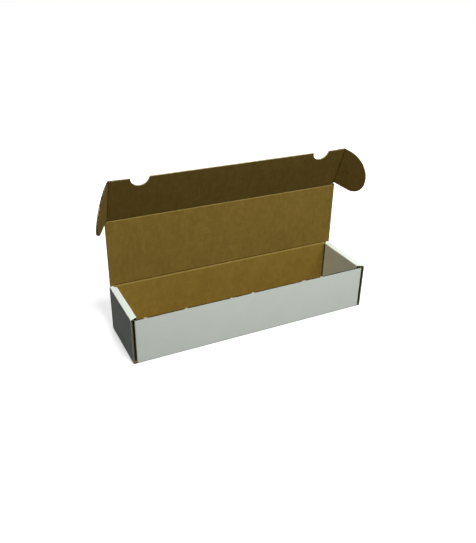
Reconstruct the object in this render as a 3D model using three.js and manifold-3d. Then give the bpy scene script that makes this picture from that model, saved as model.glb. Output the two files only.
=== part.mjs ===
// A corrugated cardboard box for storing cards, folded from one die-cut blank, with its lid standing open.
// Millimetres. X runs along the box, the front faces -Y and +Z is up.
// The origin is under the middle of the base. Each panel between two score lines is a mesh of its own.
import * as THREE from "three";
import { mergeVertices } from "three/addons/utils/BufferGeometryUtils.js";
import Module from "manifold-3d";

// Overall sizes of the folded box
const boxLength = 406.4; // over the outer end walls
const boxWidth = 107.95; // over the front and back walls
const endHeight = 76.2; // from the floor to the top of the rolled-over ends
const frontDrop = 2; // from the top of the ends down to the front wall's free edge
const lidLift = 0.75; // from the top of the ends up to the shut lid

// The board, and the room that folded board needs
const board = 2.5; // thickness
const foldGap = 0.3; // between two panels that meet at a score line or lie on each other
const slideGap = 0.25; // on each side of an ear in its slit

// Ends of the tray
const endWallSetback = 0.6; // from the front and back faces to an end wall's cut edges
const stripTaper = 5.75; // by which each end of a top strip is shorter inside than outside
const innerWallSetback = 0.8; // from the front and back walls' inner faces to an inner end wall
const innerShoulderHeight = 7; // over which an inner end wall narrows to its top strip
const cornerFlapSpacing = 15; // between the free edges of the two corner flaps of an end
const cornerFlapChamfer = 6;

// Lock tabs
const tabWidth = 20;
const tabSpacing = 50; // between the middles of the two tabs of an end
const tabShare = 0.75; // of the tab's width, left at its tip
const tabTipHeight = 0.3; // from the floor to the tab's tip

// Lid, its front flap, and the ears
const lidSetback = 1; // from the outer end walls' faces to the lid's side edges
const flapRise = 3; // from the floor to the free edge of the shut flap
const notchRadius = 14.5;
const notchInset = 51; // from an outer end wall's face to a notch's middle
const earDrop = 5; // from the flap's score line to the ear's edge, which slides under the top strip
const earNeckReach = 2.6; // from the ear's score line to where its edge has dropped by that much
const earShoulderRadius = 23; // of its corner towards the lid
const earSide = 2; // the straight stretch between its two round corners
const earRoot = 7.3; // from the ear's score line to where its far corner starts to round
const earFarSetback = 1; // from the flap's free edge back to the ear's far edge

// The pose of the photograph, in degrees
const lidLean = 0; // backwards from upright
const flapFold = 21; // forwards from the lid's plane
const earFold = 58.5; // inwards from the flap's plane

// Smoothness of round stretches
const cornerSteps = 5; // of a quarter round at a score line
const noseSteps = 10; // of the half round along a moving score line
const curveSteps = 14; // of an ear's or a notch's arc

const cutOverrun = 1; // by which a cutter passes a face

// Places that follow from the sizes
const halfLength = boxLength / 2;
const halfWidth = boxWidth / 2;
const outerWallInside = halfLength - board;
const slit = board + 2 * slideGap;
const cornerFlapOutside = outerWallInside - slit;
const cornerFlapInside = cornerFlapOutside - board;
const innerWallOutside = cornerFlapInside - foldGap;
const innerWallInside = innerWallOutside - board;
const wallInside = halfWidth - board;
const stripUnderside = endHeight - board;
const endWallTop = stripUnderside - foldGap;
const endWallHalf = halfWidth - endWallSetback;
const stripInnerHalf = endWallHalf - stripTaper;
const innerWallHalf = wallInside - innerWallSetback;
const hingeY = halfWidth - board / 2;
const hingeHeight = endHeight + lidLift + board / 2;
const frontHeight = endHeight - frontDrop;
const lidDepth = boxWidth + foldGap;
const lidHalf = halfLength - lidSetback;
const flapHeight = hingeHeight - flapRise;
const earPivot = outerWallInside - slit / 2;
const earHeight = flapHeight - earFarSetback;
const earTipRadius = earHeight - earDrop - earShoulderRadius - earSide;
const earReach = earRoot + earTipRadius;
const nose = board / 2;
const pastNose = nose + foldGap;

// Finishes: white outside, brown kraft where the inside of the board shows
const white = { color: 0xdfe3dc, roughness: 0.62, metalness: 0 };
const kraft = { color: 0x8a7038, roughness: 0.85, metalness: 0 };
const material = (finish) => new THREE.MeshStandardMaterial(finish);

// Which two axes an outline is drawn in, for each axis that it is pushed along
const frames = {
  x: [new THREE.Vector3(0, 1, 0), new THREE.Vector3(0, 0, 1), new THREE.Vector3(1, 0, 0)],
  y: [new THREE.Vector3(0, 0, 1), new THREE.Vector3(1, 0, 0), new THREE.Vector3(0, 1, 0)],
  z: [new THREE.Vector3(1, 0, 0), new THREE.Vector3(0, 1, 0), new THREE.Vector3(0, 0, 1)],
};

// A solid with the given outline, from one place along an axis to another.
function prism(axis, outline, from, to) {
  const geometry = new THREE.ExtrudeGeometry(outline, {
    depth: to - from,
    bevelEnabled: false,
    curveSegments: curveSteps,
  });
  geometry.translate(0, 0, from);
  return geometry.applyMatrix4(new THREE.Matrix4().makeBasis(...frames[axis]));
}

const polygon = (...points) => new THREE.Shape(points.map(([u, v]) => new THREE.Vector2(u, v)));

// Points of an arc about (u, v), from one angle to another in quarter turns.
function arc(u, v, radius, fromTurn, toTurn, steps) {
  const angles = Array.from({ length: steps + 1 }, (_, i) => fromTurn + ((toTurn - fromTurn) * i) / steps);
  return angles.map((turn) => [
    u + radius * Math.cos((turn * Math.PI) / 2),
    v + radius * Math.sin((turn * Math.PI) / 2),
  ]);
}

const wasm = await Module();
wasm.setup();

function toSolid(geometry) {
  const bare = geometry.clone();
  bare.deleteAttribute("normal");
  bare.deleteAttribute("uv");
  const merged = mergeVertices(bare);
  const vertProperties = new Float32Array(merged.attributes.position.array);
  const triVerts = new Uint32Array(merged.index.array);
  return new wasm.Manifold(new wasm.Mesh({ numProp: 3, vertProperties, triVerts }));
}

function toGeometry(solid) {
  const mesh = solid.getMesh();
  const geometry = new THREE.BufferGeometry();
  geometry.setAttribute("position", new THREE.BufferAttribute(new Float32Array(mesh.vertProperties), 3));
  geometry.setIndex(new THREE.BufferAttribute(new Uint32Array(mesh.triVerts), 1));
  const flat = geometry.toNonIndexed();
  flat.computeVertexNormals();
  return flat;
}

const common = (a, b) => toGeometry(toSolid(a).intersect(toSolid(b)));

function without(body, cutters) {
  const cut = cutters.reduce((left, cutter) => left.subtract(toSolid(cutter)), toSolid(body));
  return toGeometry(cut);
}

function mesh(name, geometry, finish) {
  const made = new THREE.Mesh(geometry, material(finish));
  made.name = name;
  return made;
}

// The stretch from a to b, low end first, on one side of the middle: side is -1 for left or front, else 1.
const between = (side, a, b) => [Math.min(side * a, side * b), Math.max(side * a, side * b)];

function bottomPanel() {
  const x = outerWallInside - foldGap;
  const y = wallInside - foldGap;
  const plate = prism("z", polygon([-x, -y], [x, -y], [x, y], [-x, y]), 0, board);
  const half = tabWidth / 2 + foldGap;
  const slots = [-1, 1].flatMap((end) => {
    const [low, high] = between(end, innerWallInside - foldGap, innerWallOutside + foldGap);
    return [-tabSpacing / 2, tabSpacing / 2].map((middle) => {
      const front = middle - half;
      const back = middle + half;
      const outline = polygon([low, front], [high, front], [high, back], [low, back]);
      return prism("z", outline, -cutOverrun, board + cutOverrun);
    });
  });
  return mesh("bottom_panel", without(plate, slots), kraft);
}

// A wall seen from above: its two ends are rounded where they turn into the corner flaps.
function wallPlan(side) {
  const centre = cornerFlapOutside - board;
  const right = arc(centre, wallInside, board, 0, 1, cornerSteps);
  const left = arc(-centre, wallInside, board, 1, 2, cornerSteps);
  return polygon(...[...right, ...left].map(([x, y]) => [x, side * y]));
}

// A wall seen from its end: the foot is rounded where it turns into the bottom.
function wallSection(side, topPoints) {
  const foot = arc(wallInside, board, board, 3, 4, cornerSteps);
  return polygon(...[...foot, ...topPoints].map(([y, z]) => [side * y, z]));
}

function frontWall() {
  const top = [[halfWidth, frontHeight], [wallInside, frontHeight]];
  const section = prism("x", wallSection(-1, top), -halfLength, halfLength);
  const plan = prism("z", wallPlan(-1), -cutOverrun, hingeHeight);
  return mesh("front_wall", common(section, plan), white);
}

function backWall() {
  const top = arc(hingeY, hingeHeight, nose, 0, 2, noseSteps);
  const section = prism("x", wallSection(1, top), -halfLength, halfLength);
  const plan = prism("z", wallPlan(1), -cutOverrun, hingeHeight + board);
  return mesh("back_wall", common(section, plan), white);
}

function outerEndWall(name, end) {
  const foot = arc(outerWallInside, board, board, 3, 4, cornerSteps);
  const points = [...foot, [halfLength, endWallTop], [outerWallInside, endWallTop]];
  const outline = polygon(...points.map(([x, z]) => [z, end * x]));
  return mesh(name, prism("y", outline, -endWallHalf, endWallHalf), white);
}

// The strip rolls over the end: both of its long edges are rounded, and it narrows towards the inside.
function topStrip(name, end) {
  const inner = arc(innerWallInside + board, stripUnderside, board, 2, 1, cornerSteps);
  const outer = arc(outerWallInside, stripUnderside, board, 1, 0, cornerSteps);
  const rolled = polygon(...[...inner, ...outer].map(([x, z]) => [z, end * x]));
  const section = prism("y", rolled, -halfWidth, halfWidth);
  const plan = polygon(
    [end * innerWallInside, -stripInnerHalf],
    [end * halfLength, -endWallHalf],
    [end * halfLength, endWallHalf],
    [end * innerWallInside, stripInnerHalf],
  );
  return mesh(name, common(section, prism("z", plan, 0, endHeight + cutOverrun)), white);
}

// One lock tab's points, below the wall's bottom edge.
function tab(middle, edge) {
  const root = tabWidth / 2;
  const tip = root * tabShare;
  return [
    [middle - root, edge],
    [middle - root, board],
    [middle - tip, tabTipHeight],
    [middle + tip, tabTipHeight],
    [middle + root, board],
    [middle + root, edge],
  ];
}

function innerEndWall(name, end) {
  const edge = board + foldGap;
  const shoulder = endWallTop - innerShoulderHeight;
  const outline = polygon(
    [-innerWallHalf, edge],
    ...tab(-tabSpacing / 2, edge),
    ...tab(tabSpacing / 2, edge),
    [innerWallHalf, edge],
    [innerWallHalf, shoulder],
    [stripInnerHalf, endWallTop],
    [-stripInnerHalf, endWallTop],
    [-innerWallHalf, shoulder],
  );
  return mesh(name, prism("x", outline, ...between(end, innerWallInside, innerWallOutside)), white);
}

// The end of the front or back wall, folded in between the two layers of the end.
function cornerFlap(name, end, side) {
  const start = wallInside - foldGap;
  const finish = cornerFlapSpacing / 2;
  const low = board + foldGap;
  const outline = polygon(
    [side * start, low],
    [side * start, endWallTop],
    [side * (finish + cornerFlapChamfer), endWallTop],
    [side * finish, endWallTop - cornerFlapChamfer],
    [side * finish, low + cornerFlapChamfer],
    [side * (finish + cornerFlapChamfer), low],
  );
  return mesh(name, prism("x", outline, ...between(end, cornerFlapInside, cornerFlapOutside)), kraft);
}

// The lid lies in its own plane: X along the score line, Z away from it, and its inner face towards -Y.
function lidPanel() {
  const front = arc(0, lidDepth, nose, 0, 2, noseSteps);
  const section = polygon([-nose, pastNose], [nose, pastNose], ...front);
  return mesh("lid_panel", prism("x", section, -lidHalf, lidHalf), kraft);
}

function lidFrontFlap() {
  const rightEnd = arc(earPivot, 0, nose, -1, 1, noseSteps);
  const leftEnd = arc(-earPivot, 0, nose, 1, 3, noseSteps);
  const plate = prism("z", polygon(...rightEnd, ...leftEnd), pastNose, flapHeight);
  const notches = [-1, 1].map((end) => {
    const through = board + 2 * cutOverrun;
    const cutter = new THREE.CylinderGeometry(notchRadius, notchRadius, through, 2 * curveSteps);
    return cutter.translate(end * (halfLength - notchInset), 0, flapHeight);
  });
  return mesh("lid_front_flap", without(plate, notches), kraft);
}

// An ear lies in its own plane: u away from its score line, and v along it towards the flap's free edge.
function ear(name, end) {
  const shoulder = earShoulderRadius;
  const tip = earTipRadius;
  const points = [
    [pastNose, pastNose + foldGap],
    [earNeckReach, earDrop],
    ...arc(earReach - shoulder, earDrop + shoulder, shoulder, -1, 0, curveSteps),
    ...arc(earReach - tip, earHeight - tip, tip, 0, 1, curveSteps),
    [pastNose, earHeight],
  ];
  const outline = polygon(...points.map(([u, v]) => [v, end * u]));
  return mesh(name, prism("y", outline, -nose, nose), kraft);
}

function tray() {
  const group = new THREE.Group();
  group.add(
    bottomPanel(),
    frontWall(),
    backWall(),
    outerEndWall("left_outer_end_wall", -1),
    outerEndWall("right_outer_end_wall", 1),
    topStrip("left_top_strip", -1),
    topStrip("right_top_strip", 1),
    innerEndWall("left_inner_end_wall", -1),
    innerEndWall("right_inner_end_wall", 1),
    cornerFlap("front_left_corner_flap", -1, -1),
    cornerFlap("front_right_corner_flap", 1, -1),
    cornerFlap("back_left_corner_flap", -1, 1),
    cornerFlap("back_right_corner_flap", 1, 1),
  );
  return group;
}

// The ear on its score line at one end of the flap.
function hingedEar(name, end) {
  const group = new THREE.Group();
  group.position.set(end * earPivot, 0, 0);
  group.rotation.z = -end * THREE.MathUtils.degToRad(earFold);
  group.add(ear(name, end));
  return group;
}

function hingedFlap() {
  const group = new THREE.Group();
  group.position.set(0, 0, lidDepth);
  group.rotation.x = THREE.MathUtils.degToRad(flapFold);
  group.add(lidFrontFlap(), hingedEar("left_ear", -1), hingedEar("right_ear", 1));
  return group;
}

function hingedLid() {
  const group = new THREE.Group();
  group.position.set(0, hingeY, hingeHeight);
  group.rotation.x = -THREE.MathUtils.degToRad(lidLean);
  group.add(lidPanel(), hingedFlap());
  return group;
}

const box = new THREE.Group();
box.add(tray(), hingedLid());

export default box;
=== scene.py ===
# Card storage box of white-faced corrugated board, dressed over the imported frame.
# Metres: X along the box, the front faces -Y, Z up.
import math
import random

import bmesh
import bpy
from mathutils import Matrix, Vector
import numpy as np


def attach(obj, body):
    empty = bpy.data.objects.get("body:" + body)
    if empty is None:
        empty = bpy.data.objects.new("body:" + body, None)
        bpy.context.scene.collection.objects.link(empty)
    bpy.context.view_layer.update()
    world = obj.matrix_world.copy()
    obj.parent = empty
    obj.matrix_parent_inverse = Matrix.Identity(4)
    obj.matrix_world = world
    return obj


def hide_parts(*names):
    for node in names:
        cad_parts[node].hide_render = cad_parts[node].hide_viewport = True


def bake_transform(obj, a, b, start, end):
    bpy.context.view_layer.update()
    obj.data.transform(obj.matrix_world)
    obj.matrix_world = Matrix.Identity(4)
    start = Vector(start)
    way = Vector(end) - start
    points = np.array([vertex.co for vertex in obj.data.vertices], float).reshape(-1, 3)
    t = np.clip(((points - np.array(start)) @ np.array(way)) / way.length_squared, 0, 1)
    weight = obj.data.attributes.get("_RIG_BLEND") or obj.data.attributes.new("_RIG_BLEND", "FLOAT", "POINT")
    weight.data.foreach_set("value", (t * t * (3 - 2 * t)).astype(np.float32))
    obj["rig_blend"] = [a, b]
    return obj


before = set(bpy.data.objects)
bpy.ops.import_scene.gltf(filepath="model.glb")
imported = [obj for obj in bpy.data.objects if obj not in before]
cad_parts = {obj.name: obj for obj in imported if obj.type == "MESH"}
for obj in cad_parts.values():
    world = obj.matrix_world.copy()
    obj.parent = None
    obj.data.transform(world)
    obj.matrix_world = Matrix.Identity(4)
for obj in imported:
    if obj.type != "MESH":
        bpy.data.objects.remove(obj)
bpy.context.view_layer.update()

mm = 0.001

viewpoint = {
    "place": (-0.4032, -0.7802, 0.5522),
    "target": (-0.0086, -0.0030, 0.0878),
    "roll": 1.18,  # degrees
    "lens": 41.0,  # on a 36 mm wide sensor
    "farthest": 20,
}


def setCamera(spec):
    lens = bpy.data.cameras.new("photoCamera")
    lens.lens = spec["lens"]
    lens.clip_end = spec["farthest"]
    camera = bpy.data.objects.new("photoCamera", lens)
    bpy.context.scene.collection.objects.link(camera)
    place = Vector(spec["place"])
    aim = (Vector(spec["target"]) - place).to_track_quat("-Z", "Y").to_matrix()
    turned = aim @ Matrix.Rotation(math.radians(spec["roll"]), 3, "Z")
    camera.matrix_world = Matrix.Translation(place) @ turned.to_4x4()
    bpy.context.scene.camera = camera


setCamera(viewpoint)
print("camera set")

board = {
    "thickness": 2.5 * mm,
    "outerLiner": 0.3 * mm,
    "innerLiner": 0.28 * mm,
    "medium": 0.3 * mm,  # the fluted paper between the liners
    "fray": 0.22 * mm,  # by which its cut ends spread to each side
    "paperGap": 0.01 * mm,  # kept free between the fluted paper and a liner
    "flutePitch": 6.4 * mm,
    "stepsPerFlute": 12,
    "leastStep": 0.05 * mm,  # a point of a flute that is closer than this to a fold is left out
    "edgeCrush": 0.13 * mm,  # how far the die presses each face down at a cut edge
    "crushReach": 0.7 * mm,
    "foldCrush": 0.14,  # share of the thickness lost in the middle of a fold
    "foldSquare": 4.5,  # how square a fold's outside is: 2 for a round bend, more for a sharper one
    "foldSteps": 8,
    "roundUpTo": 33,  # degrees: the sharpest edge of the mesh that still shades round
    "flatWeight": 60,  # how firmly the large faces keep the shading flat
}

# Sizes of the folded box, as in the frame
box = {
    "halfLength": 203.2 * mm,
    "halfWidth": 53.975 * mm,
    "endHeight": 76.2 * mm,
    "endHalfWidth": 53.375 * mm,
    "frontHeight": 74.2 * mm,
    "hingeY": 52.725 * mm,
    "hingeZ": 78.2 * mm,
    "hingeHalf": 196.6 * mm,  # half the length of the fold between back wall and lid
    "lidDepth": 108.25 * mm,
    "lidHalf": 202.2 * mm,
    "flapHeight": 75.2 * mm,
    "flapHalf": 198.9 * mm,  # half the length of the fold between lid and flap
    "flapFold": 21.0,  # degrees, as the box stands open
    "earPivot": 199.2 * mm,
    "earFold": 58.5,
}

hair = 0.1 * mm  # allowance when a point is compared with a line
thick = board["thickness"]
foldLength = thick * math.pi / 2  # of the outer face, round a square fold
wallRise = box["frontHeight"] - thick
innerHalfWidth = box["halfWidth"] - thick
footLine = wallRise + foldLength  # on the blank, between the front wall's fold and the bottom
bottomMiddle = footLine + innerHalfWidth
backFoot = footLine + 2 * innerHalfWidth
hingeBlank = backFoot + foldLength + box["hingeZ"] - thick
lidBlank = hingeBlank + box["lidDepth"]


# A point of the board, for how far along the outer face and how deep below it, in the fold's
# own plane. Runs are straight lengths, or degrees in a tuple for a fold towards the inside.
def foldedLine(runs):
    def at(along, depth):
        a = b = turned = 0.0
        for run in runs:
            if isinstance(run, tuple):
                whole = math.radians(run[0])
                length = thick * whole
                part = max(0.0, min(along / thick, whole))
                middle = (a - thick * math.sin(turned), b + thick * math.cos(turned))
                turned += part
                a = middle[0] + thick * math.sin(turned)
                b = middle[1] - thick * math.cos(turned)
                if 0 < part < whole:
                    bent = math.sin(math.pi * part / whole)
                    depth *= 1 - board["foldCrush"] * bent
                    power = board["foldSquare"]
                    spread = (math.cos(part) ** power + math.sin(part) ** power) ** (-1 / power)
                    depth -= (spread - 1) * (thick - depth)
            else:
                length = run
                part = along if along < length or run is runs[-1] else length
                a += part * math.cos(turned)
                b += part * math.sin(turned)
            along -= length
            if along <= 0:
                break
        return a - depth * math.sin(turned), b + depth * math.cos(turned)

    return at


def foldCuts(start, degrees=90.0):
    steps = board["foldSteps"]
    return [start + thick * math.radians(degrees) * i / steps for i in range(steps + 1)]


# Where the long walls turn in behind the end walls, and where their lower folds end
wallEnd = {
    "cornerStart": 195.2 * mm,
    "footEnd": 196.4 * mm,
    "bottomEnd": 197.0 * mm,
    "chamfer": 1.2 * mm,
}
strip = {"flat": 5.8 * mm, "taper": 5.75 * mm, "width": 10.8 * mm}
onward = 1.0  # the last run of a line goes on as far as it has to

# Round the box: front wall's free edge, down, along the bottom, up the back and into the lid
girth = foldedLine([wallRise, (90,), 2 * innerHalfWidth, (90,), onward])
# Over an end: up the outer wall, over the top strip and down the inner wall
endRise = box["endHeight"] - 2 * thick
overEnd = foldedLine([(90,), endRise, (90,), strip["flat"], (90,), onward])
# Round a corner of the tray, from the middle of the front or back wall
cornerStart = wallEnd["cornerStart"]
cornerEnd = cornerStart + foldLength
roundCorner = foldedLine([cornerStart, (90,), onward])


def near(value, *spots):
    return any(abs(value - spot) < hair / 5 for spot in spots)


def smoothStep(t):
    t = max(0.0, min(1.0, t))
    return t * t * (3 - 2 * t)


def onBorder(vert):
    return any(edge.is_boundary for edge in vert.link_edges)


# The flat shape with a ring along its edges, and cut where it folds or the flutes need points.
def flatShape(outline, holes=(), uCuts=(), vCuts=(), ring=0.0):
    flat = bmesh.new()
    edges = []
    for loop in [outline, *holes]:
        corners = [flat.verts.new((u, v, 0)) for u, v in loop]
        edges += [flat.edges.new((corners[i - 1], corners[i])) for i in range(len(corners))]
    if holes:
        bmesh.ops.triangle_fill(flat, use_beauty=True, use_dissolve=False, edges=edges)
    else:
        flat.faces.new([edge.verts[0] for edge in edges])
    if ring:
        bmesh.ops.inset_region(
            flat, faces=flat.faces[:], thickness=ring, use_even_offset=True, use_boundary=True
        )
    for axis, cuts in ((0, uCuts), (1, vCuts)):
        for cut in cuts:
            point, normal = Vector(), Vector()
            point[axis], normal[axis] = cut, 1
            everything = flat.verts[:] + flat.edges[:] + flat.faces[:]
            bmesh.ops.bisect_plane(
                flat, geom=everything, dist=1e-6, plane_co=point, plane_no=normal
            )
    for face in flat.faces:
        face.normal_update()
        if face.normal.z < 0:
            face.normal_flip()
    return flat


# One paper of the board: both its faces and its edges, put in place by the piece's own fold.
# The finishes are those of the outer face, the inner face, a cut along the flutes and one across.
def addLayer(target, flat, depths, finishNames, piece, filled=None):
    numbers = [finishOrder.index(finish) for finish in finishNames]
    uvMap = target.loops.layers.uv["blank"]
    edgeWear = target.verts.layers.float["edgeWear"]
    foldWearAndPaintedLight = target.verts.layers.float["foldWearAndPaintedLight"]
    joined = piece.get("joined", lambda u, v: False)
    score = piece.get("score", lambda u, v: 0.0)
    folded = piece.get("folded", lambda u, v: 0.0)
    sides = ({}, {})
    for vert in flat.verts:
        u, v = vert.co.x, vert.co.y
        isCut = onBorder(vert) and not joined(u, v)
        squeeze = 1 - 2 * board["edgeCrush"] / thick if isCut else 1.0
        for side, depth in zip(sides, filled if isCut and filled else depths(v, isCut)):
            depth = thick / 2 + (depth - thick / 2) * squeeze
            depth *= 1 - score(u, v)
            made = target.verts.new(piece["place"](u, v, depth))
            made[edgeWear] = 1.0 if isCut else 0.0
            made[foldWearAndPaintedLight] = folded(u, v)
            side[vert] = made
    blankU, blankV = piece["blank"]

    def paint(face, spots, number):
        face.material_index = number
        face.smooth = True
        for loop, (u, v) in zip(face.loops, spots):
            loop[uvMap].uv = (blankU(u, v), blankV(u, v))

    outer, inner = sides
    for face in flat.faces:
        spots = [(vert.co.x, vert.co.y) for vert in face.verts]
        paint(target.faces.new([outer[vert] for vert in face.verts]), spots, numbers[0])
        back = target.faces.new([inner[vert] for vert in reversed(face.verts)])
        paint(back, spots[::-1], numbers[1])
    for edge in flat.edges:
        if not edge.is_boundary:
            continue
        loop = edge.link_loops[0]
        a, b = loop.vert, loop.link_loop_next.vert
        away = Vector((b.co.y - a.co.y, a.co.x - b.co.x)).normalized() * thick
        spots = [(a.co.x, a.co.y), (b.co.x, b.co.y)]
        spots += [(u + away.x, v + away.y) for u, v in spots[::-1]]
        across = abs(b.co.y - a.co.y) > abs(b.co.x - a.co.x)
        rim = target.faces.new([outer[a], outer[b], inner[b], inner[a]])
        paint(rim, spots, numbers[3] if across else numbers[2])


# The two faces of the fluted paper at v. Its cut ends are frayed wider.
def fluteWave(v, phase, isCut):
    gap = board["paperGap"]
    room = thick - board["outerLiner"] - board["innerLiner"]
    swing = (room - board["medium"]) / 2 - gap
    turn = 2 * math.pi * v / board["flutePitch"] + phase
    slope = swing * 2 * math.pi / board["flutePitch"] * math.cos(turn)
    middle = board["outerLiner"] + room / 2 + swing * math.sin(turn)
    half = board["medium"] / 2 * math.sqrt(1 + slope * slope) + (board["fray"] if isCut else 0)
    low, high = board["outerLiner"] + gap, thick - board["innerLiner"] - gap
    return max(low, middle - half), min(high, middle + half)


def fluteCuts(low, high):
    step = board["flutePitch"] / board["stepsPerFlute"]
    clear = 0.2  # of a step, kept from the outline
    first, last = math.ceil(low / step + clear), math.floor(high / step - clear)
    return [i * step for i in range(first, last + 1)]


# A panel of board from its outline in its own flat plane: u along the flutes, v across them.
def makeBoard(name, piece):
    target = bmesh.new()
    target.loops.layers.uv.new("blank")
    target.verts.layers.float.new("edgeWear")
    target.verts.layers.float.new("foldWearAndPaintedLight")
    outline, holes = piece["outline"], piece.get("holes", ())
    uFolds, vFolds = piece.get("uFolds", []), piece.get("vFolds", [])
    phase = piece.get("flutePhase", 0.0)
    liner = flatShape(outline, holes, uFolds, vFolds, board["crushReach"])
    span = min(v for u, v in outline), max(v for u, v in outline)
    least = board["leastStep"]
    waves = [v for v in fluteCuts(*span) if all(abs(v - fold) > least for fold in vFolds)]
    core = flatShape(outline, holes, uFolds, sorted([*vFolds, *waves]))
    top, under = board["outerLiner"], thick - board["innerLiner"]
    alongCut = piece.get("alongCut", "bareEdge")  # a cut along the flutes is crushed shut; its near-black colour is partly that, partly painted shade
    outerCut = piece.get("outerCut", "whiteEdge")
    outerAlong = alongCut if alongCut == "openCut" else outerCut
    addLayer(
        target, liner, lambda v, isCut: (0.0, top),
        ("whiteFace", "bareEdge", outerAlong, outerCut), piece,
    )
    # Where the die tore more than it cut, loose fibre fills the space between the liners
    gap = 2 * board["paperGap"]
    addLayer(
        target, core, lambda v, isCut: fluteWave(v, phase, isCut),
        ("medium", "medium", piece.get("coreCut", alongCut), "fluteEnd"), piece,
        (top + gap, under - gap) if piece.get("torn") else None,
    )
    addLayer(
        target, liner, lambda v, isCut: (under, thick),
        ("bareEdge", piece.get("innerFace", "kraftFace"), alongCut, "bareEdge"), piece,
    )
    liner.free()
    core.free()
    if "extra" in piece:
        piece["extra"](target)
    bmesh.ops.recalc_face_normals(target, faces=target.faces[:])
    mesh = bpy.data.meshes.new(name)
    target.to_mesh(mesh)
    target.free()
    for finish in finishOrder:
        mesh.materials.append(finishes[finish])
    made = bpy.data.objects.new(name, mesh)
    bpy.context.scene.collection.objects.link(made)
    softenFolds(made)
    return made


# Folds and flutes shade round, cut edges stay crisp, and flat faces stay flat.
def softenFolds(made):
    shape = bmesh.new()
    shape.from_mesh(made.data)
    roundest = math.radians(board["roundUpTo"])
    for edge in shape.edges:
        edge.smooth = len(edge.link_faces) == 2 and edge.calc_face_angle(math.pi) < roundest
    shape.to_mesh(made.data)
    shape.free()
    weighted = made.modifiers.new("flatFacesStayFlat", "WEIGHTED_NORMAL")
    weighted.keep_sharp = True
    weighted.weight = board["flatWeight"]


# Short forms for building a material's nodes. A grain is given by its size in millimetres along
# and across the flutes, its detail and its shift. Levels say from where to where a noise counts.
class Nodes:
    def __init__(self, name, gloss):
        self.material = bpy.data.materials.new(name)
        self.material.use_nodes = True
        self.tree = self.material.node_tree
        self.shader = self.tree.nodes["Principled BSDF"]
        self.shader.inputs["Specular IOR Level"].default_value = gloss
        spot = self.add("ShaderNodeUVMap")
        spot.uv_map = "blank"
        self.spot = spot.outputs["UV"]

    def add(self, kind):
        return self.tree.nodes.new(kind)

    def link(self, value, socket):
        if isinstance(value, (int, float, tuple)):
            socket.default_value = value
        else:
            self.tree.links.new(value, socket)

    def math(self, operation, *values):
        made = self.add("ShaderNodeMath")
        made.operation = operation
        for value, socket in zip(values, made.inputs):
            self.link(value, socket)
        return made.outputs[0]

    def share(self, value, part):
        return self.math("MULTIPLY", value, part)

    def grain(self, along, across, detail, shift):
        sideways = 0.7 * shift
        mapped = self.add("ShaderNodeMapping")
        mapped.inputs["Scale"].default_value = (1 / (along * mm), 1 / (across * mm), 1)
        mapped.inputs["Location"].default_value = (shift, sideways, shift)
        self.link(self.spot, mapped.inputs["Vector"])
        noise = self.add("ShaderNodeTexNoise")
        noise.inputs["Scale"].default_value = 1.0
        noise.inputs["Detail"].default_value = detail
        self.link(mapped.outputs["Vector"], noise.inputs["Vector"])
        return noise.outputs["Fac"]

    def stretch(self, value, low, high, outLow=0.0, outHigh=1.0):
        made = self.add("ShaderNodeMapRange")
        for socket, number in zip(range(1, 5), (low, high, outLow, outHigh)):
            made.inputs[socket].default_value = number
        self.link(value, made.inputs[0])
        return made.outputs[0]

    # Patches of noise, from 0 outside them to their share inside
    def patches(self, spec):
        return self.share(self.stretch(self.grain(*spec["grain"]), *spec["levels"]), spec["share"])

    def mix(self, factor, a, b, blend="MIX"):
        made = self.add("ShaderNodeMix")
        made.data_type = "RGBA"
        made.blend_type = blend
        self.link(factor, made.inputs[0])
        self.link(a, made.inputs[6])
        self.link(b, made.inputs[7])
        return made.outputs[2]

    def blankSpot(self, axis):
        parts = self.add("ShaderNodeSeparateXYZ")
        self.link(self.spot, parts.inputs[0])
        return parts.outputs[axis]

    # The ripple that the flutes press into a liner
    def washboard(self):
        wave = self.math("SINE", self.share(self.blankSpot(1), 2 * math.pi / board["flutePitch"]))
        return self.math("MULTIPLY_ADD", wave, 0.5, 0.5)

    def attribute(self, name):
        made = self.add("ShaderNodeAttribute")
        made.attribute_name = name
        return made.outputs["Fac"]

    # Relief from the flutes' ripple and from the fibres
    def relief(self, ripple, fibres, spec):
        ripple, fibres = self.share(ripple, spec["ripple"]), self.share(fibres, spec["fibres"])
        self.bump(self.math("ADD", ripple, fibres), spec["height"])

    def bump(self, height, distance):
        made = self.add("ShaderNodeBump")
        made.inputs["Distance"].default_value = distance
        self.link(height, made.inputs["Height"])
        self.link(made.outputs["Normal"], self.shader.inputs["Normal"])


whitePaper = {
    "colour": (0.765, 0.825, 0.75, 1),
    "worn": (0.50, 0.44, 0.30, 1),
    "gloss": 0.05,
    "clouds": {"grain": (34, 34, 3, 0), "levels": (0.35, 0.65), "tint": (0.955, 0.965, 0.95, 1)},
    "fine": {
        "grain": (1.1, 2.2, 2, 3.1), "levels": (0.3, 0.7), "share": 0.5,
        "tint": (0.93, 0.93, 0.92, 1),
    },
    "ripple": {"share": 0.035, "tint": (0.8, 0.8, 0.78, 1)},
    "specks": {"grain": (0.9, 1.3, 1, 8.8), "levels": (0.74, 0.8), "share": 0.3},
    "rubbed": {"grain": (2.2, 2.2, 3, 5.5), "levels": (0.42, 0.68), "share": 0.55},  # at cut edges
    "cracks": {"grain": (0.7, 0.7, 2, 1.7), "levels": (0.56, 0.66), "share": 0.22},  # along folds
    "roughness": (0.25, 0.75, 0.66, 0.82),  # levels of the fine grain, and what they give
    "relief": {"ripple": 0.5, "fibres": 0.25, "height": 0.06 * mm},
}


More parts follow.
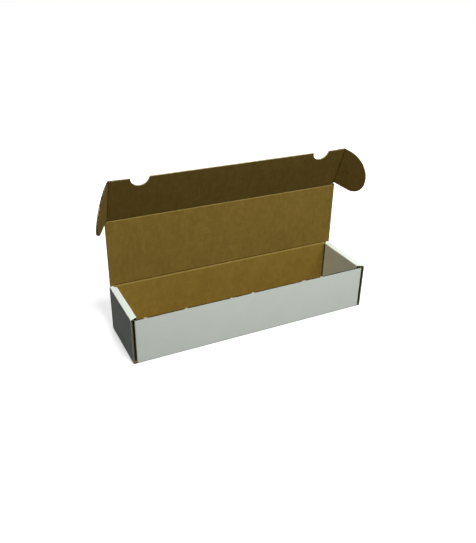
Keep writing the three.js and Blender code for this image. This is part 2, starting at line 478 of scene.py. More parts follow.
def whiteFace(spec):
    n = Nodes("white liner", spec["gloss"])
    clouds, fine, ripple = spec["clouds"], spec["fine"], spec["ripple"]
    fineGrain, wave = n.grain(*fine["grain"]), n.washboard()
    cloudy = n.stretch(n.grain(*clouds["grain"]), *clouds["levels"])
    tone = n.mix(cloudy, clouds["tint"], (1, 1, 1, 1))
    dusted = n.mix(fine["share"], tone, fine["tint"])
    tone = n.mix(n.stretch(fineGrain, *fine["levels"]), dusted, tone)
    tone = n.mix(n.share(wave, ripple["share"]), tone, ripple["tint"])
    colour = n.mix(1.0, spec["colour"], tone, "MULTIPLY")
    colour = n.mix(n.patches(spec["specks"]), colour, spec["worn"])  # fibres of the brown ply below
    edges = n.math("POWER", n.attribute("edgeWear"), 2.0)
    folds = n.math("ABSOLUTE", n.attribute("foldWearAndPaintedLight"))
    edges = n.math("MULTIPLY", edges, n.patches(spec["rubbed"]))
    folds = n.math("MULTIPLY", folds, n.patches(spec["cracks"]))
    colour = n.mix(n.math("ADD", edges, folds), colour, spec["worn"])
    n.link(colour, n.shader.inputs["Base Color"])
    n.link(n.stretch(fineGrain, *spec["roughness"]), n.shader.inputs["Roughness"])
    n.relief(wave, fineGrain, spec["relief"])
    return n.material


kraftPaper = {
    "colour": (0.268, 0.174, 0.0305, 1),
    "dark": (0.18, 0.112, 0.0185, 1),
    "light": (0.34, 0.235, 0.05, 1),
    "bent": (0.37, 0.285, 0.105, 1),  # pale tint along a fold bent back: painted highlight
    # near black: dark specks in the kraft, and painted shade in folds bent in
    "nearBlack": (0.016, 0.011, 0.005, 1),
    "gloss": 0.03,
    # Painted shade: the kraft inside of the lid is darker by a share, and the flap and ears by a further
    # share
    "paintedShade": {
        "tint": (0.61, 0.62, 0.76, 1), "lid": 0.52, "flap": 0.48,
        "before": 4 * mm, "after": 2 * mm,  # where that begins and ends, round a fold
    },
    "clouds": {"grain": (26, 40, 3, 2.2), "levels": (0.3, 0.7), "share": 0.6},
    "blotches": {"grain": (7, 11, 3, 5.3), "levels": (0.36, 0.64, -1, 1), "share": 0.24},
    "streaks": {"grain": (1.6, 30, 2, 6.1), "levels": (0.42, 0.72), "share": 0.3},
    "fibres": (0.28, 3.2, 2, 9.4),
    "darkFibres": {"levels": (0.5, 0.72), "share": 0.35},
    "lightFibres": {"levels": (0.5, 0.28), "share": 0.3},
    "specks": {"grain": (0.8, 1.5, 1, 4.4), "levels": (0.73, 0.79), "share": 0.55},
    "ripple": 0.06,
    "rubbed": {"grain": (1.8, 1.8, 2, 7.7), "levels": (0.4, 0.65), "share": 0.5},
    "opened": 0.42,  # share of the pale tint, a painted highlight, where a fold was bent back and of the near-black one, a painted shade, where it was bent in, for marks below zero
    "closed": -0.75,  # and of the dark one where it was bent in, for wear below zero
    "roughness": (0.25, 0.75, 0.88, 0.98),
    "relief": {"ripple": 0.5, "fibres": 0.6, "height": 0.08 * mm},
}


def kraftFace(spec):
    n = Nodes("kraft liner", spec["gloss"])
    dark, light, nearBlack = spec["dark"], spec["light"], spec["nearBlack"]
    wave, fibres = n.washboard(), n.grain(*spec["fibres"])
    clouds, blotches = spec["clouds"], n.patches(spec["blotches"])
    tone = n.mix(n.stretch(n.grain(*clouds["grain"]), *clouds["levels"]), dark, spec["colour"])
    tone = n.mix(clouds["share"], tone, spec["colour"])
    tone = n.mix(n.math("MAXIMUM", blotches, 0.0), tone, light)
    tone = n.mix(n.share(n.math("MINIMUM", blotches, 0.0), -1.0), tone, dark)
    tone = n.mix(n.patches(spec["streaks"]), tone, light)
    for part, colour in (("darkFibres", dark), ("lightFibres", light)):
        showing = n.stretch(fibres, *spec[part]["levels"])
        tone = n.mix(n.share(showing, spec[part]["share"]), tone, colour)
    tone = n.mix(n.patches(spec["specks"]), tone, nearBlack)
    tone = n.mix(n.share(wave, spec["ripple"]), tone, dark)
    # Painted shade, darker on the lid and darker still on the flap and ears
    paintedShade, spot = spec["paintedShade"], n.blankSpot(1)
    before, after = paintedShade["before"], paintedShade["after"]
    onLid = n.stretch(spot, hingeBlank - before, hingeBlank + after, 0.0, paintedShade["lid"])
    onFlap = n.stretch(spot, lidBlank - after, lidBlank + after, 0.0, paintedShade["flap"])
    shadedTone = n.mix(1.0, tone, paintedShade["tint"], "MULTIPLY")
    tone = n.mix(n.math("ADD", onLid, onFlap), tone, shadedTone)
    rubbed = n.math("MULTIPLY", n.attribute("edgeWear"), n.patches(spec["rubbed"]))
    tone = n.mix(rubbed, tone, light)
    # Painted highlight along folds bent back, painted shade in folds bent in
    bent = n.attribute("foldWearAndPaintedLight")
    tone = n.mix(n.share(n.math("MAXIMUM", bent, 0.0), spec["opened"]), tone, spec["bent"])
    tone = n.mix(n.share(n.math("MINIMUM", bent, 0.0), spec["closed"]), tone, nearBlack)
    n.link(tone, n.shader.inputs["Base Color"])
    n.link(n.stretch(fibres, *spec["roughness"]), n.shader.inputs["Roughness"])
    n.relief(wave, fibres, spec["relief"])
    return n.material


# What shows where the board was cut, from dark to light, and how rough it lies
cutBoard = {
    "gloss": 0.1,
    "fibres": {"grain": (0.25, 0.6, 3, 3.3), "levels": (0.3, 0.7)},
    "patches": {"grain": (2.5, 2.5, 2, 1.2), "levels": (0.4, 0.7), "share": 0.4},
    "roughness": (0.2, 0.8, 0.82, 0.98),
}
cutLooks = {
    # Crushed cut kraft, darkened further as painted shade; also the faces inside the board
    "bareEdge": ("cut kraft edge", (0.016, 0.011, 0.005, 1), (0.065, 0.043, 0.014, 1), 0.12 * mm),
    "whiteEdge": ("cut white edge", (0.52, 0.46, 0.31, 1), (0.74, 0.73, 0.62, 1), 0.08 * mm),
    # Painted shade: the fluted paper is made near black, for the hollows between the liners
    "medium": ("fluted paper", (0.016, 0.011, 0.005, 1), (0.05, 0.033, 0.012, 1), 0.06 * mm),
    "fluteEnd": ("cut flute ends", (0.5, 0.43, 0.27, 1), (0.72, 0.67, 0.5, 1), 0.1 * mm),
    # Painted shade: near black, for a cut edge where the flutes lie open
    "openCut": ("open cut", (0.003, 0.002, 0.001, 1), (0.014, 0.01, 0.004, 1), 0.12 * mm),
    "kraftEdge": ("kraft edge", (0.085, 0.083, 0.048, 1), (0.24, 0.232, 0.138, 1), 0.1 * mm),
}


def cutFace(spec, name, dark, light, depth):
    n = Nodes(name, spec["gloss"])
    fibres = n.grain(*spec["fibres"]["grain"])
    colour = n.mix(n.stretch(fibres, *spec["fibres"]["levels"]), dark, light)
    n.link(n.mix(n.patches(spec["patches"]), colour, dark), n.shader.inputs["Base Color"])
    n.link(n.stretch(fibres, *spec["roughness"]), n.shader.inputs["Roughness"])
    n.bump(fibres, depth)
    return n.material


finishes = {"whiteFace": whiteFace(whitePaper), "kraftFace": kraftFace(kraftPaper)}
for finish, look in cutLooks.items():
    finishes[finish] = cutFace(cutBoard, *look)
finishOrder = list(finishes)
print("finishes mixed:", len(finishes))


def alongGirth(u, v, depth):
    down, inward = girth(v, depth)
    return u, inward - box["halfWidth"], box["frontHeight"] - down


# Near the ends of a wall the board also turns in behind the outer end wall.
def wallPlace(side):
    def place(u, v, depth):
        x, y = roundCorner(abs(u), depth)
        rise = box["frontHeight"] - v if side < 0 else v - (hingeBlank - box["hingeZ"])
        if abs(u) <= cornerStart or rise < thick:
            return alongGirth(u, v, depth)
        return math.copysign(x, u), side * (box["halfWidth"] - y), rise

    return place


flatBlank = (lambda u, v: u, lambda u, v: v)

# Painted shade: a corner bent in is darkened on its kraft side, also a little way along the wall beside it;
# its white side gets wear cracks there.
cornerShadeAndWear = {"from": 191.6 * mm, "full": 193.6 * mm}


def cornerBend(u):
    return -smoothStep((abs(u) - cornerShadeAndWear["from"]) / (cornerShadeAndWear["full"] - cornerShadeAndWear["from"]))


def cornerCuts():
    cuts = [*cornerShadeAndWear.values(), *foldCuts(cornerStart)[:-1]]
    return [side * cut for side in (-1, 1) for cut in cuts]


# The front wall's free edge, crushed more in some places than in others
freeEdge = {
    "press": 0.08,  # share of the thickness
    "reach": 3 * mm,
    "rows": (1.5 * mm, 2.2 * mm),
    "cuts": 90,
    "even": 0.5, "slow": 0.3, "quick": 0.2,  # shares of the press that stay even or come and go
    "slowLength": 7.1 * mm, "slowShift": 1.3,
    "quickLength": 2.9 * mm, "drift": 4, "driftLength": 31 * mm,
}


def pressedEdge(u, v):
    edge = freeEdge
    slow = math.sin(u / edge["slowLength"] + edge["slowShift"])
    drift = edge["drift"] * math.sin(u / edge["driftLength"])
    quick = math.sin(u / edge["quickLength"] + drift)
    uneven = edge["even"] + edge["slow"] * slow + edge["quick"] * quick
    return edge["press"] * uneven * (1 - smoothStep(v / edge["reach"]))


def frontWall():
    footEnd, chamferTop = wallEnd["footEnd"], wallRise - wallEnd["chamfer"]
    step = 2 * cornerStart / freeEdge["cuts"]
    edgeCuts = [i * step - cornerStart for i in range(1, freeEdge["cuts"])]
    points = [
        (-cornerEnd, 0), (cornerEnd, 0), (cornerEnd, chamferTop), (footEnd, wallRise),
        (footEnd, footLine), (-footEnd, footLine), (-footEnd, wallRise), (-cornerEnd, chamferTop),
    ]
    return {
        "outline": points,
        "uFolds": cornerCuts() + edgeCuts,
        "vFolds": [*freeEdge["rows"], freeEdge["reach"], *foldCuts(wallRise)[:-1]],
        "score": pressedEdge,
        # painted shade: the free edge's cut is near black
        "alongCut": "openCut",
        "flutePhase": 0.6,
        "place": wallPlace(-1),
        "blank": flatBlank,
        "joined": lambda u, v: near(v, footLine) or near(abs(u), cornerEnd),
        # painted shade on the kraft side of the bottom fold and corners; wear cracks on the white side
        "folded": lambda u, v: -1.0 if v > wallRise + hair else cornerBend(u),
        "extra": tornNicks,
    }


# Torn bridges where the die-cut sheet was held, along the front wall's free edge
nicks = {
    "at": (-182.0, -117.2, -43.8, -7.8, 84.5, 118.8),  # millimetres from the middle
    "tufts": 4,
    "width": 4.6 * mm, "spread": (-0.5, 0.5),  # where a tuft stands, as a share of the width
    "half": (0.2, 0.4),  # a tuft's half width, also as a share of it
    "rise": 1.8 * mm, "height": (0.5, 1.1),
    "lean": (0.1, 0.8),  # millimetres
    "root": 0.5 * mm,
    # Across and down from a tuft's top, and how much of the lean it takes
    "right": (0.7, 0.4, 0.5), "left": (-0.8, 0.55, 0.4), "tip": (-0.2, 0.4),
    "outer": 0.06 * mm, "inner": 0.3 * mm,  # depths below the wall's face
    "seed": 4,
}


def tornNicks(target):
    rng = random.Random(nicks["seed"])
    uvMap = target.loops.layers.uv["blank"]
    outer, inner = nicks["outer"] - box["halfWidth"], nicks["inner"] - box["halfWidth"]
    for spot in [spot for spot in nicks["at"] for tuft in range(nicks["tufts"])]:
        middle = spot * mm + rng.uniform(*nicks["spread"]) * nicks["width"]
        half = nicks["width"] * rng.uniform(*nicks["half"])
        rise = nicks["rise"] * rng.uniform(*nicks["height"])
        lean = rng.uniform(*nicks["lean"]) * mm
        base, top = box["frontHeight"] - nicks["root"], box["frontHeight"] + rise
        right, left = (
            (middle + half * across, top - rise * down, share)
            for across, down, share in (nicks["right"], nicks["left"])
        )
        tip = (middle + half * rng.uniform(*nicks["tip"]), top, 1)
        shape = [(middle - half, base, 0), (middle + half, base, 0), right, tip, left]
        front = [target.verts.new((x, outer + lean * k, z)) for x, z, k in shape]
        back = [target.verts.new((x, inner + lean * k, z)) for x, z, k in shape]
        faces = [target.faces.new(front), target.faces.new(back[::-1])]
        for i in range(len(shape)):
            faces.append(target.faces.new([front[i - 1], front[i], back[i], back[i - 1]]))
        for face in faces:
            face.material_index = finishOrder.index("fluteEnd")
            for loop in face.loops:
                loop[uvMap].uv = (loop.vert.co.x, loop.vert.co.z + loop.vert.co.y)


def backWall():
    footEnd, hingeHalf = wallEnd["footEnd"], box["hingeHalf"]
    foot = backFoot + foldLength
    chamferFoot = foot + wallEnd["chamfer"]
    cornerTop = hingeBlank - box["hingeZ"] + box["frontHeight"]
    high = hingeBlank - crease["belowHinge"]
    right = [
        (footEnd, backFoot), (footEnd, foot), (cornerEnd, chamferFoot), (cornerEnd, cornerTop),
        (hingeHalf, cornerTop), (hingeHalf, high),
    ]
    left = [(-u, v) for u, v in right]
    return {
        "outline": [left[0], *right, *left[:0:-1]],
        "uFolds": cornerCuts(),
        "vFolds": foldCuts(backFoot)[1:],
        "place": wallPlace(1),
        "blank": flatBlank,
        "joined": lambda u, v: near(v, backFoot, high) or near(abs(u), cornerEnd),
        # painted shade on the kraft side of the bottom fold and corners; wear cracks on the white side
        "folded": lambda u, v: -1.0 if v < foot - hair else cornerBend(u),
    }


tabSlot = {"from": 192.1 * mm, "to": 195.2 * mm, "half": 10.3 * mm, "middle": 25 * mm}


def bottomPanel():
    across = box["halfLength"] - thick
    quarter = [
        (wallEnd["bottomEnd"], innerHalfWidth), (wallEnd["bottomEnd"], box["endHalfWidth"]),
        (across, box["endHalfWidth"]),
    ]
    ring = quarter + [(u, -v) for u, v in reversed(quarter)]
    ring += [(-u, -v) for u, v in quarter] + [(-u, v) for u, v in reversed(quarter)]
    holes = []
    for side in (-1, 1):
        for row in (-1, 1):
            us = sorted((side * tabSlot["from"], side * tabSlot["to"]))
            centre = bottomMiddle + row * tabSlot["middle"]
            vs = centre - tabSlot["half"], centre + tabSlot["half"]
            holes.append([(us[0], vs[0]), (us[1], vs[0]), (us[1], vs[1]), (us[0], vs[1])])
    return {
        "outline": [(u, bottomMiddle + v) for u, v in ring],
        "holes": holes,
        "place": lambda u, v, depth: (u, v - bottomMiddle, depth),
        "blank": flatBlank,
        "joined": lambda u, v: near(abs(u), across)
        or (near(v, footLine, backFoot) and abs(u) < wallEnd["footEnd"] + hair),
    }


# Ends of the tray: u runs up the outer wall, over the strip and down the inner wall
endBlankStart = box["halfLength"] - thick
stripStart = foldLength + endRise
innerFold = stripStart + foldLength + strip["flat"]
stripEnd = innerFold + foldLength


def endPiece(side, outline, uFolds, joined, folded):
    def place(u, v, depth):
        out, up = overEnd(u, depth)
        return side * (box["halfLength"] - thick + out), v, up

    blank = (lambda u, v: side * (endBlankStart + u), lambda u, v: bottomMiddle + v)
    return {
        "outline": outline, "uFolds": uFolds, "place": place, "blank": blank,
        "joined": joined, "folded": folded,
    }


def outerEndWall(side):
    half = box["endHalfWidth"]
    outline = [(0, -half), (stripStart, -half), (stripStart, half), (0, half)]
    fillEnd = stripStart - 1 * mm  # above this the loose fibre in its cut edges gives out
    made = endPiece(
        side, outline, [*foldCuts(0)[1:], fillEnd],
        lambda u, v: near(u, 0, stripStart),
        lambda u, v: 1.0 if hair < u < foldLength - hair else 0.0,
    )
    made["alongCut"] = "kraftEdge"
    made["innerFace"] = "bareEdge"  # painted shade: the dark cut-edge finish on this kraft face, which shows only through the ear's slit
    made["torn"] = True
    return made


def topStrip(side):
    cuts = foldCuts(stripStart) + foldCuts(innerFold)
    flatLines = stripStart, stripStart + foldLength, innerFold, stripEnd

    def halfAt(u):
        out, up = overEnd(u, 0)
        return box["endHalfWidth"] - strip["taper"] * min(1.0, (thick - out) / strip["width"])

    outline = [(u, -halfAt(u)) for u in cuts] + [(u, halfAt(u)) for u in reversed(cuts)]
    return endPiece(
        side, outline, cuts[1:-1],
        lambda u, v: near(u, stripStart, stripEnd),
        lambda u, v: 0.0 if near(u, *flatLines) else 1.0,
    )


innerEnd = {"half": 47.9 * mm, "neck": 47.0 * mm, "shoulder": 12 * mm, "foot": 2.8 * mm}
lockTab = {"half": 10 * mm, "tipShare": 0.75, "middle": 25 * mm, "tip": 0.3 * mm}


def innerEndWall(side):
    def down(height):
        return stripEnd + box["endHeight"] - thick - height

    half, neck = innerEnd["half"], innerEnd["neck"]
    edge, shoulder = down(innerEnd["foot"]), down(innerEnd["shoulder"])
    root, tip = lockTab["half"], lockTab["half"] * lockTab["tipShare"]
    floor, end = down(thick), down(lockTab["tip"])
    outline = [(stripEnd, -neck), (shoulder, -half), (edge, -half)]
    for row in (-1, 1):
        middle = row * lockTab["middle"]
        outline += [
            (edge, middle - root), (floor, middle - root), (end, middle - tip),
            (end, middle + tip), (floor, middle + root), (edge, middle + root),
        ]
    outline += [(edge, half), (shoulder, half), (stripEnd, neck)]
    return endPiece(side, outline, [], lambda u, v: near(u, stripEnd), lambda u, v: 0.0)


cornerFlapSize = {"low": 2.8 * mm, "high": 73.4 * mm, "fromMiddle": 7.5 * mm, "chamfer": 6 * mm}


def cornerFlap(end, side):
    low, high, chamfer = (cornerFlapSize[name] for name in ("low", "high", "chamfer"))
    reach = innerHalfWidth - cornerFlapSize["fromMiddle"]
    outline = [
        (0, low), (reach - chamfer, low), (reach, low + chamfer),
        (reach, high - chamfer), (reach - chamfer, high), (0, high),
    ]

    def place(u, v, depth):
        return end * (cornerStart + thick - depth), side * (innerHalfWidth - u), v

    def blankV(u, v):
        return box["frontHeight"] - v if side < 0 else hingeBlank - box["hingeZ"] + v

    return {
        "outline": outline,
        "place": place,
        "blank": (lambda u, v: end * (cornerEnd + u), blankV),
        "joined": lambda u, v: near(u, 0),
    }


# Folds that move: each bends with the two panels it joins
crease = {
    "reach": 2.2 * mm,  # on each side of the line that it turns on
    "belowHinge": 3.6 * mm,  # the hinge also takes in the crushed top of the back wall
    "steps": 12,
    "flapTuck": 0.18 * mm,  # how far the outside of a bent fold draws in
    "earTuck": 0.4 * mm,
    "hingeBlend": 2.15 * mm, "flapBlend": 1.9 * mm, "earBlend": 1.3 * mm,
}
# What the rule pressed into the kraft side: share of the thickness, and how far to each side
rulePress = {
    "hinge": {"depth": 0.42, "below": 3.4 * mm, "above": 1.3 * mm},
    "flap": {"depth": 0.38, "below": 1.9 * mm, "above": 1.2 * mm},
    "ear": {"depth": 0.33, "below": 1.5 * mm, "above": 1.5 * mm},
}
# Painted light along a moving fold: painted highlight above zero, painted shade below
paintedFoldLight = {
    "hingePale": {"at": -1.9 * mm, "reach": 1.8 * mm, "share": 0.9},
    "hingeDark": {"at": 0.1 * mm, "reach": 0.9 * mm, "share": -0.5},
    "flapPaleAt": -1.1 * mm, "flapDarkAt": 0.4 * mm, "flapDark": 0.6,
    "narrow": 2, "earNarrow": 1.6,  # how many times narrower than the fold
}


def pressShape(distance, rule):
    half = rule["below"] if distance < 0 else rule["above"]
    return rule["depth"] * (1 - smoothStep(abs(distance) / half))


def creaseCuts(below=crease["reach"]):
    steps = crease["steps"]
    return [-below + (below + crease["reach"]) * i / steps for i in range(1, steps)]


def creaseShare(distance):
    return smoothStep(0.5 + distance / (2 * crease["reach"]))


def creaseBulge(distance):
    return 1 - smoothStep(abs(distance) / crease["reach"])


def lidPlace(u, v, depth):
    return u, box["halfWidth"] - depth, box["hingeZ"] + v


lidEnds = {
    "drop": -1.2 * mm,  # beyond the hinge the lid's lower corners reach down to the top strips
    "hingeSlant": 0.2 * mm,
    "lap": 0.5 * mm,  # beyond the flap's fold
    "lapSlant": 0.25 * mm,
}


def lidPanel():
    half, top, reach = box["lidHalf"], box["lidDepth"], crease["reach"]
    hingeHalf, flapHalf = box["hingeHalf"], box["flapHalf"]
    hingeSide, flapSide = hingeHalf + lidEnds["hingeSlant"], flapHalf + lidEnds["lapSlant"]
    low, lap = lidEnds["drop"], top + lidEnds["lap"]
    outline = [
        (-half, low), (-hingeSide, low), (-hingeHalf, reach), (hingeHalf, reach),
        (hingeSide, low), (half, low), (half, lap), (flapSide, lap),
        (flapHalf, top - reach), (-flapHalf, top - reach), (-flapSide, lap), (-half, lap),
    ]
    return {
        "outline": outline,
        "place": lidPlace,
        "blank": (lambda u, v: u, lambda u, v: hingeBlank + v),
        "joined": lambda u, v: (near(v, reach) and abs(u) < hingeHalf + hair)
        or (near(v, top - reach) and abs(u) < flapHalf + hair),
    }


flapLean = math.radians(box["flapFold"])
flapLine = (0, box["hingeY"], box["hingeZ"] + box["lidDepth"])
flapUp = Vector((0, -math.sin(flapLean), math.cos(flapLean)))
flapNormal = Vector((0, -math.cos(flapLean), -math.sin(flapLean)))  # out of the kraft side
notch = {"radius": 14.5 * mm, "place": 152.2 * mm, "steps": 24}


# Turns a point about the line along X at the top of the lid, by a share of the flap's fold.
def flapTurn(y, z, share):
    angle = flapLean * share
    fromLine, rise = y - box["hingeY"], z - box["hingeZ"] - box["lidDepth"]
    return (
        box["hingeY"] + fromLine * math.cos(angle) - rise * math.sin(angle),
        box["hingeZ"] + box["lidDepth"] + fromLine * math.sin(angle) + rise * math.cos(angle),
    )


def flapPlace(u, v, depth):
    x, y, z = lidPlace(u, box["lidDepth"] + v, depth)
    return x, *flapTurn(y, z, 1.0)


def notchArc(middle):
    turns = [math.pi * (1 + i / notch["steps"]) for i in range(notch["steps"] + 1)]
    return [
        (middle + notch["radius"] * math.cos(t), box["flapHeight"] + notch["radius"] * math.sin(t))
        for t in turns
    ]


def frontFlap():
    half, low, high = box["earPivot"] - crease["reach"], crease["reach"], box["flapHeight"]
    left, right = notchArc(-notch["place"]), notchArc(notch["place"])
    return {
        "outline": [(-half, high), *left, *right, (half, high), (half, low), (-half, low)],
        "place": flapPlace,
        "blank": (lambda u, v: u, lambda u, v: lidBlank + v),
        "joined": lambda u, v: near(abs(u), half) or near(v, low),
        "alongCut": "fluteEnd",
        "torn": True,
    }


ear = {
    "drop": 5 * mm, "shoulder": 23 * mm, "reach": 51.5 * mm, "height": 74.2 * mm, "tip": 44.2 * mm,
    "arcSteps": 18,
}


# An ear's point turned in about its score line, which runs up the flap's end.
def earPlace(side, share):
    def place(u, v, depth):
        depth += crease["earTuck"] * creaseBulge(u)
        flat = Vector(flapPlace(side * (box["earPivot"] + u), v, depth))
        pivot = Vector(flapPlace(side * box["earPivot"], v, thick / 2))
        angle = side * math.radians(-box["earFold"]) * share(u)
        return tuple(pivot + Matrix.Rotation(angle, 3, flapUp) @ (flat - pivot))

    return place


def earBlank(side):
    return lambda u, v: side * (box["earPivot"] + u), lambda u, v: lidBlank + v


def earPanel(side):
    start, shoulder, tip = crease["reach"], ear["shoulder"], ear["tip"]
    outline = [(start, ear["drop"])]
    for centreU, centreV, radius, first in (
        (ear["reach"] - shoulder, ear["drop"] + shoulder, shoulder, -90),
        (ear["reach"] - tip, ear["height"] - tip, tip, 0),
    ):
        for i in range(ear["arcSteps"] + 1):
            turn = math.radians(first + 90 * i / ear["arcSteps"])
            outline.append((centreU + radius * math.cos(turn), centreV + radius * math.sin(turn)))
    outline.append((start, ear["height"]))
    return {
        "outline": outline,
        "coreCut": "kraftEdge",
        # painted shade: the ear's white cut edge is near black
        "outerCut": "openCut",
        "place": earPlace(side, lambda u: 1.0),
        "blank": earBlank(side),
        "joined": lambda u, v: near(u, start),
    }


def lidHinge():
    reach, below, half = crease["reach"], crease["belowHinge"], box["hingeHalf"]

    def mark(v, spec):
        return spec["share"] * max(0.0, 1 - abs(v - spec["at"]) / spec["reach"])

    return {
        "outline": [(-half, -below), (half, -below), (half, reach), (-half, reach)],
        "vFolds": creaseCuts(below),
        "place": lidPlace,
        "blank": (lambda u, v: u, lambda u, v: hingeBlank + v),
        "joined": lambda u, v: near(v, -below, reach),
        "score": lambda u, v: pressShape(v, rulePress["hinge"]),
        "folded": lambda u, v: mark(v, paintedFoldLight["hingePale"]) + mark(v, paintedFoldLight["hingeDark"]),
    }


def flapFold():
    reach, half = crease["reach"], box["flapHalf"]

    def place(u, v, depth):
        x, y, z = lidPlace(u, box["lidDepth"] + v, depth)
        return x, *flapTurn(y - crease["flapTuck"] * creaseBulge(v), z, creaseShare(v))

    def marks(u, v):
        pale, dark = (
            creaseBulge(paintedFoldLight["narrow"] * (v - paintedFoldLight[name]))
            for name in ("flapPaleAt", "flapDarkAt")
        )
        return pale - paintedFoldLight["flapDark"] * dark

    return {
        "outline": [(-half, -reach), (half, -reach), (half, reach), (-half, reach)],
        "vFolds": creaseCuts(),
        "place": place,
        "blank": (lambda u, v: u, lambda u, v: lidBlank + v),
        "joined": lambda u, v: near(abs(v), reach),
        "score": lambda u, v: pressShape(v, rulePress["flap"]),
        "folded": marks,
    }


# Where the ear fold's edge leaves the flap, and where it steps down to the ear's far edge
earFoldEdge = {"neck": -0.6 * mm, "stepFrom": -0.2 * mm, "stepTo": 0.4 * mm}


def earFoldStrip(side):
    reach, edge = crease["reach"], earFoldEdge
    earTop, flapTop = ear["height"], box["flapHeight"]
    outline = [
        (-reach, reach), (edge["neck"], reach), (reach, ear["drop"]), (reach, earTop),
        (edge["stepTo"], earTop), (edge["stepFrom"], flapTop), (-reach, flapTop),
    ]
    return {
        "outline": outline,
        "uFolds": creaseCuts(),
        "place": earPlace(side, creaseShare),
        "blank": earBlank(side),
        "joined": lambda u, v: near(abs(u), reach),
        "score": lambda u, v: pressShape(u, rulePress["ear"]),
        # painted shade along the ear's fold
        "folded": lambda u, v: -creaseBulge(paintedFoldLight["earNarrow"] * u),
    }


# Makes a piece, puts it on the body it rides on, and hides the frame's panel that it stands for
def dress(name, piece, body, node):
    made = makeBoard(name, piece)
    if body:
        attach(made, body)
    if node:
        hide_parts(node)
    return made


dress("front_wall_board", frontWall(), "tray", "front_wall")
dress("back_wall_board", backWall(), "tray", "back_wall")
dress("bottom_board", bottomPanel(), "tray", "bottom_panel")
for side, word in ((-1, "left"), (1, "right")):
    for part, node, shape in (
        ("_outer_end_board", "_outer_end_wall", outerEndWall),
        ("_top_strip_board", "_top_strip", topStrip),
        ("_inner_end_board", "_inner_end_wall", innerEndWall),
    ):
        dress(word + part, shape(side), "tray", word + node)
    for depthSide, where in ((-1, "front"), (1, "back")):
        node = where + "_" + word + "_corner_flap"
        dress(node + "_board", cornerFlap(side, depthSide), "tray", node)
print("tray made")

dress("lid_board", lidPanel(), "lid", "lid_panel")
dress("front_flap_board", frontFlap(), "front_flap", "lid_front_flap")
for side, word in ((-1, "left"), (1, "right")):
    dress(word + "_ear_board", earPanel(side), word + "_ear", word + "_ear")
print("lid, flap and ears made")


def bendBetween(made, first, second, middle, direction, reach):
    middle, direction = Vector(middle), Vector(direction).normalized()
    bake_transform(made, first, second, start=middle - direction * reach, end=middle + direction * reach)


hinge = dress("lid_hinge_fold", lidHinge(), None, None)
hingeLine = (0, box["hingeY"], box["hingeZ"])
bendBetween(hinge, "tray", "lid", hingeLine, (0, 0, 1), crease["hingeBlend"])
fold = dress("flap_fold", flapFold(), None, None)
halfUp = (0, -math.sin(flapLean / 2), math.cos(flapLean / 2))  # midway between lid and flap
bendBetween(fold, "lid", "front_flap", flapLine, halfUp, crease["flapBlend"])
for side, word in ((-1, "left"), (1, "right")):
    made = dress(word + "_ear_fold", earFoldStrip(side), None, None)
    half = math.radians(box["earFold"] / 2)
    along = Vector((side * math.cos(half), 0, 0)) + flapNormal * math.sin(half)
    line = flapPlace(side * box["earPivot"], 0, thick / 2)
    bendBetween(made, "front_flap", word + "_ear", line, along, crease["earBlend"])
print("moving folds made")

floorLook = {
    "halfSize": 6,
    "below": 0.4 * mm,
    "paint": 0.8,
    "thrown": 0.06,  # what the floor throws back up at the box
    "glowNear": 0.6, "glowFar": 1.0,  # seen by the camera and in gloss only
    "near": 0.25, "far": 0.8,
}


# One where the camera or a gloss sees the surface, and nothing where light falls on it
def seenOnly(tree):
    path = tree.nodes.new("ShaderNodeLightPath")
    seen = tree.nodes.new("ShaderNodeMath")
    seen.operation = "MAXIMUM"
    tree.links.new(path.outputs["Is Camera Ray"], seen.inputs[0])
    tree.links.new(path.outputs["Is Glossy Ray"], seen.inputs[1])
    return seen.outputs[0]


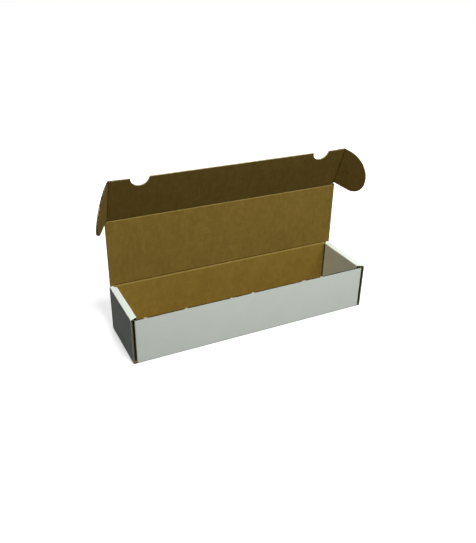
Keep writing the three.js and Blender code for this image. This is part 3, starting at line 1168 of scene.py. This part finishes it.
def paleFloor():
    material = bpy.data.materials.new("pale floor")
    material.use_nodes = True
    tree = material.node_tree
    tree.nodes.clear()

    def add(kind, **settings):
        made = tree.nodes.new(kind)
        for name, value in settings.items():
            setattr(made, name, value)
        return made

    seen = seenOnly(tree)
    shade = add("ShaderNodeMix", data_type="RGBA")
    shade.inputs[6].default_value = (*[floorLook["thrown"]] * 3, 1)
    shade.inputs[7].default_value = (*[floorLook["paint"]] * 3, 1)
    tree.links.new(seen, shade.inputs[0])
    matt = add("ShaderNodeBsdfDiffuse")
    tree.links.new(shade.outputs[2], matt.inputs["Color"])
    # White further out, and a little darker round the box, where its shadow lies
    spot = add("ShaderNodeTexCoord")
    away = add("ShaderNodeVectorMath", operation="LENGTH")
    tree.links.new(spot.outputs["Object"], away.inputs[0])
    level = add("ShaderNodeMapRange", interpolation_type="SMOOTHSTEP")
    for socket, name in zip(range(1, 5), ("near", "far", "glowNear", "glowFar")):
        level.inputs[socket].default_value = floorLook[name]
    tree.links.new(away.outputs["Value"], level.inputs[0])
    strength = add("ShaderNodeMath", operation="MULTIPLY")
    tree.links.new(level.outputs[0], strength.inputs[0])
    tree.links.new(seen, strength.inputs[1])
    glow = add("ShaderNodeEmission")
    tree.links.new(strength.outputs[0], glow.inputs["Strength"])
    both = add("ShaderNodeAddShader")
    tree.links.new(matt.outputs[0], both.inputs[0])
    tree.links.new(glow.outputs[0], both.inputs[1])
    out = add("ShaderNodeOutputMaterial")
    tree.links.new(both.outputs[0], out.inputs["Surface"])
    return material


def setStage():
    shape = bmesh.new()
    bmesh.ops.create_grid(shape, x_segments=2, y_segments=2, size=floorLook["halfSize"])
    mesh = bpy.data.meshes.new("floor")
    shape.to_mesh(mesh)
    shape.free()
    mesh.materials.append(paleFloor())
    floor = bpy.data.objects.new("floor", mesh)
    floor.location.z = -floorLook["below"]
    bpy.context.scene.collection.objects.link(floor)


# White behind the box, with no light of its own
def setWorld():
    world = bpy.data.worlds.new("studio")
    bpy.context.scene.world = world
    world.use_nodes = True
    tree = world.node_tree
    back = tree.nodes["Background"]
    back.inputs["Color"].default_value = (1, 1, 1, 1)
    tree.links.new(seenOnly(tree), back.inputs["Strength"])


lamps = {
    "main": {"place": (-0.04, -0.6, 1.3), "size": 0.36, "power": 18.0},
    "right": {"place": (0.5, -0.9, 0.9), "size": 0.5, "power": 4.2},
    "low": {"place": (0.3, -1.3, 0.5), "size": 0.5, "power": 0.9},
    "back": {"place": (0.35, 1.3, 0.36), "size": 0.6, "power": 11.5},
    "rightSide": {"place": (1.3, -0.05, 0.34), "size": 0.5, "power": 4.2},
    "leftSide": {"place": (-1.2, 0.7, 0.45), "size": 0.5, "power": 0.7},
}
lampTarget = (0, 0, 0.08)


def setLamp(name, spec):
    lamp = bpy.data.lights.new(name, "AREA")
    lamp.energy = spec["power"]
    lamp.size = spec["size"]
    made = bpy.data.objects.new(name, lamp)
    made.location = spec["place"]
    aim = Vector(lampTarget) - Vector(spec["place"])
    made.rotation_euler = aim.to_track_quat("-Z", "Y").to_euler()
    bpy.context.scene.collection.objects.link(made)


setStage()
setWorld()
for name, spec in lamps.items():
    setLamp(name, spec)
bpy.context.scene.view_settings.view_transform = "Standard"
print("stage and lights set")
